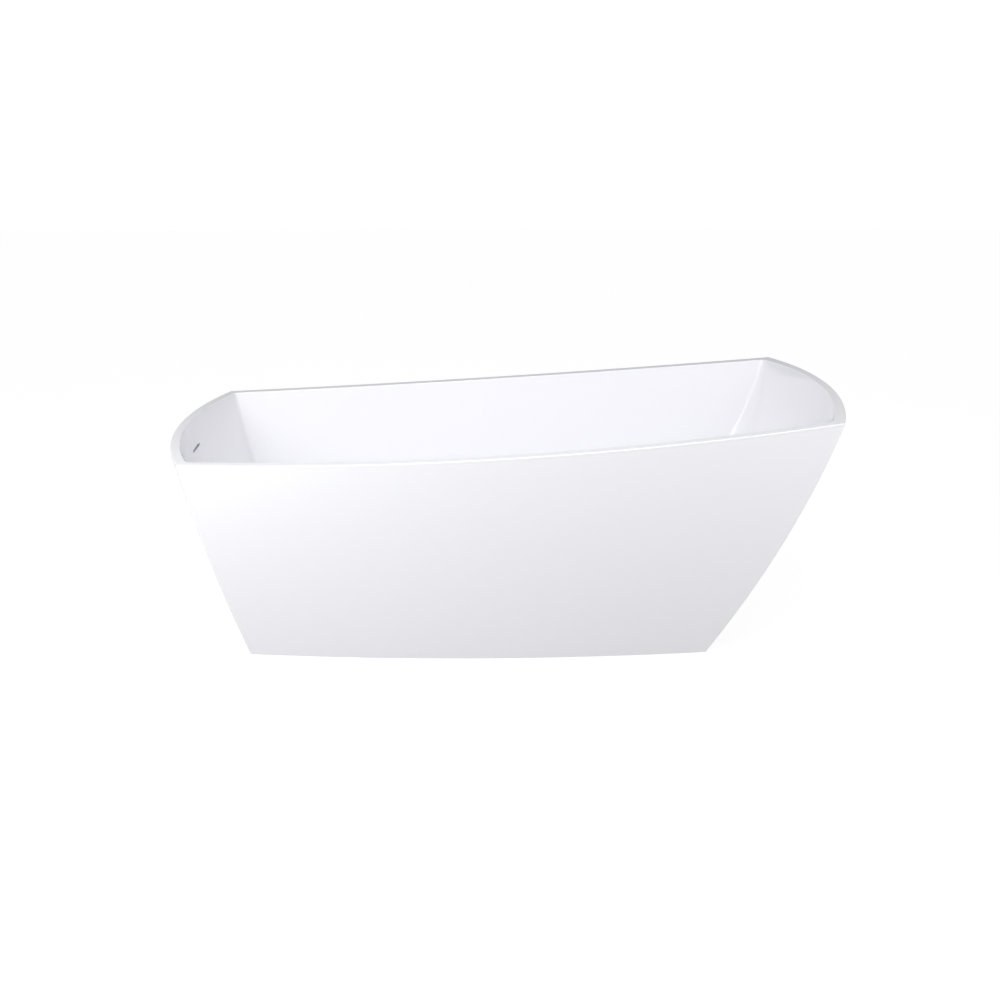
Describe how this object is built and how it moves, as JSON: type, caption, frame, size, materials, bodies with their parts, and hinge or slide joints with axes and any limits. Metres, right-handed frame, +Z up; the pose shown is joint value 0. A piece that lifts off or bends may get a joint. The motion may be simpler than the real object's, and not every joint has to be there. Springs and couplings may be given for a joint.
{
  "type": "freestanding bathtub",
  "caption": "Double-walled acrylic slipper bathtub with crisp upright corners, raised head end, slot overflow, pop-up drain and hidden levelling feet.",
  "frame": {"origin": "on the floor, at the middle of the tub's outer length and width", "axes": "+X along the tub from the low foot end to the raised head end, +Y across to the back, +Z up"},
  "size_m": [1.6998, 0.7868, 0.6574],
  "materials": {
    "basin_acrylic": "glossy white cast acrylic",
    "skirt_acrylic": "glossy white cast acrylic",
    "duct_plastic": "moulded white ABS",
    "pipe_plastic": "white PVC drain fittings",
    "gasket_rubber": "black EPDM rubber",
    "nylon_washer": "natural nylon",
    "drain_brass": "chromed brass",
    "nut_plastic": "black moulded polypropylene",
    "stopper_chrome": "polished chrome",
    "base_plywood": "raw birch plywood",
    "block_timber": "sawn softwood",
    "frame_steel": "galvanised steel tube",
    "bracket_steel": "galvanised folded steel",
    "cap_plastic": "black polyethylene",
    "screw_steel": "zinc-plated steel",
    "foot_steel": "zinc-plated steel",
    "pad_rubber": "black moulded rubber"
  },
  "bodies": {
    "tub": {"bar_end_caps": "cap_plastic", "base_board": "base_plywood", "board_screws": "screw_steel", "bracket_screws": "screw_steel", "branch_slip_nut": "pipe_plastic", "branch_slip_ring": "nylon_washer", "cross_bar_foot": "frame_steel", "cross_bar_head": "frame_steel", "cross_bar_middle": "frame_steel", "drain_cross": "drain_brass", "drain_flange": "drain_brass", "drain_gasket": "gasket_rubber", "drain_lock_nut": "nut_plastic", "drain_slip_washer": "nylon_washer", "drain_tailpiece": "pipe_plastic", "drain_tee": "pipe_plastic", "foot_inserts": "foot_steel", "foot_lock_nuts": "foot_steel", "inner_basin": "basin_acrylic", "outer_skirt": "skirt_acrylic", "outlet_slip_nut": "pipe_plastic", "outlet_slip_ring": "nylon_washer", "overflow_duct": "duct_plastic", "overflow_gasket": "gasket_rubber", "overflow_pipe": "pipe_plastic", "rail_back": "frame_steel", "rail_end_caps": "cap_plastic", "rail_front": "frame_steel", "skirt_block_1": "block_timber", "skirt_block_2": "block_timber", "skirt_block_3": "block_timber", "skirt_block_4": "block_timber", "skirt_block_5": "block_timber", "skirt_block_6": "block_timber", "skirt_bracket_1": "bracket_steel", "skirt_bracket_2": "bracket_steel", "skirt_bracket_3": "bracket_steel", "skirt_bracket_4": "bracket_steel", "skirt_bracket_5": "bracket_steel", "skirt_bracket_6": "bracket_steel"},
    "stopper": {"stopper_cap": "stopper_chrome", "stopper_seal": "gasket_rubber", "stopper_post": "drain_brass"},
    "foot_pad_1": {"foot_pad_1": "pad_rubber"},
    "foot_stud_1": {"foot_stud_1": "foot_steel"},
    "foot_pad_2": {"foot_pad_2": "pad_rubber"},
    "foot_stud_2": {"foot_stud_2": "foot_steel"},
    "foot_pad_3": {"foot_pad_3": "pad_rubber"},
    "foot_stud_3": {"foot_stud_3": "foot_steel"},
    "foot_pad_4": {"foot_pad_4": "pad_rubber"},
    "foot_stud_4": {"foot_stud_4": "foot_steel"},
    "foot_pad_5": {"foot_pad_5": "pad_rubber"},
    "foot_stud_5": {"foot_stud_5": "foot_steel"}
  },
  "joints": [
    {"name": "stopper_lift", "type": "slide", "parent": "tub", "child": "stopper", "axis": [0, 0, 1], "range_m": [0, 0.009]},
    {"name": "foot_travel_1", "type": "slide", "parent": "tub", "child": "foot_pad_1", "axis": [0, 0, -1], "range_m": [0, 0.015]},
    {"name": "foot_turn_1", "type": "hinge", "parent": "foot_pad_1", "child": "foot_stud_1", "pos_m": [-0.41, -0.20016, 0.05], "axis": [0, 0, 1], "range_deg": [0, 3600]},
    {"name": "foot_travel_2", "type": "slide", "parent": "tub", "child": "foot_pad_2", "axis": [0, 0, -1], "range_m": [0, 0.015]},
    {"name": "foot_turn_2", "type": "hinge", "parent": "foot_pad_2", "child": "foot_stud_2", "pos_m": [-0.41, 0.20016, 0.05], "axis": [0, 0, 1], "range_deg": [0, 3600]},
    {"name": "foot_travel_3", "type": "slide", "parent": "tub", "child": "foot_pad_3", "axis": [0, 0, -1], "range_m": [0, 0.015]},
    {"name": "foot_turn_3", "type": "hinge", "parent": "foot_pad_3", "child": "foot_stud_3", "pos_m": [-0.06, 0, 0.05], "axis": [0, 0, 1], "range_deg": [0, 3600]},
    {"name": "foot_travel_4", "type": "slide", "parent": "tub", "child": "foot_pad_4", "axis": [0, 0, -1], "range_m": [0, 0.015]},
    {"name": "foot_turn_4", "type": "hinge", "parent": "foot_pad_4", "child": "foot_stud_4", "pos_m": [0.29, -0.19951, 0.05], "axis": [0, 0, 1], "range_deg": [0, 3600]},
    {"name": "foot_travel_5", "type": "slide", "parent": "tub", "child": "foot_pad_5", "axis": [0, 0, -1], "range_m": [0, 0.015]},
    {"name": "foot_turn_5", "type": "hinge", "parent": "foot_pad_5", "child": "foot_stud_5", "pos_m": [0.29, 0.19951, 0.05], "axis": [0, 0, 1], "range_deg": [0, 3600]}
  ],
  "couplings": [
    {"joint": "foot_turn_1", "follows": "foot_travel_1", "rad_per_m": 4188.8},
    {"joint": "foot_turn_2", "follows": "foot_travel_2", "rad_per_m": 4188.8},
    {"joint": "foot_turn_3", "follows": "foot_travel_3", "rad_per_m": 4188.8},
    {"joint": "foot_turn_4", "follows": "foot_travel_4", "rad_per_m": 4188.8},
    {"joint": "foot_turn_5", "follows": "foot_travel_5", "rad_per_m": 4188.8}
  ]
}
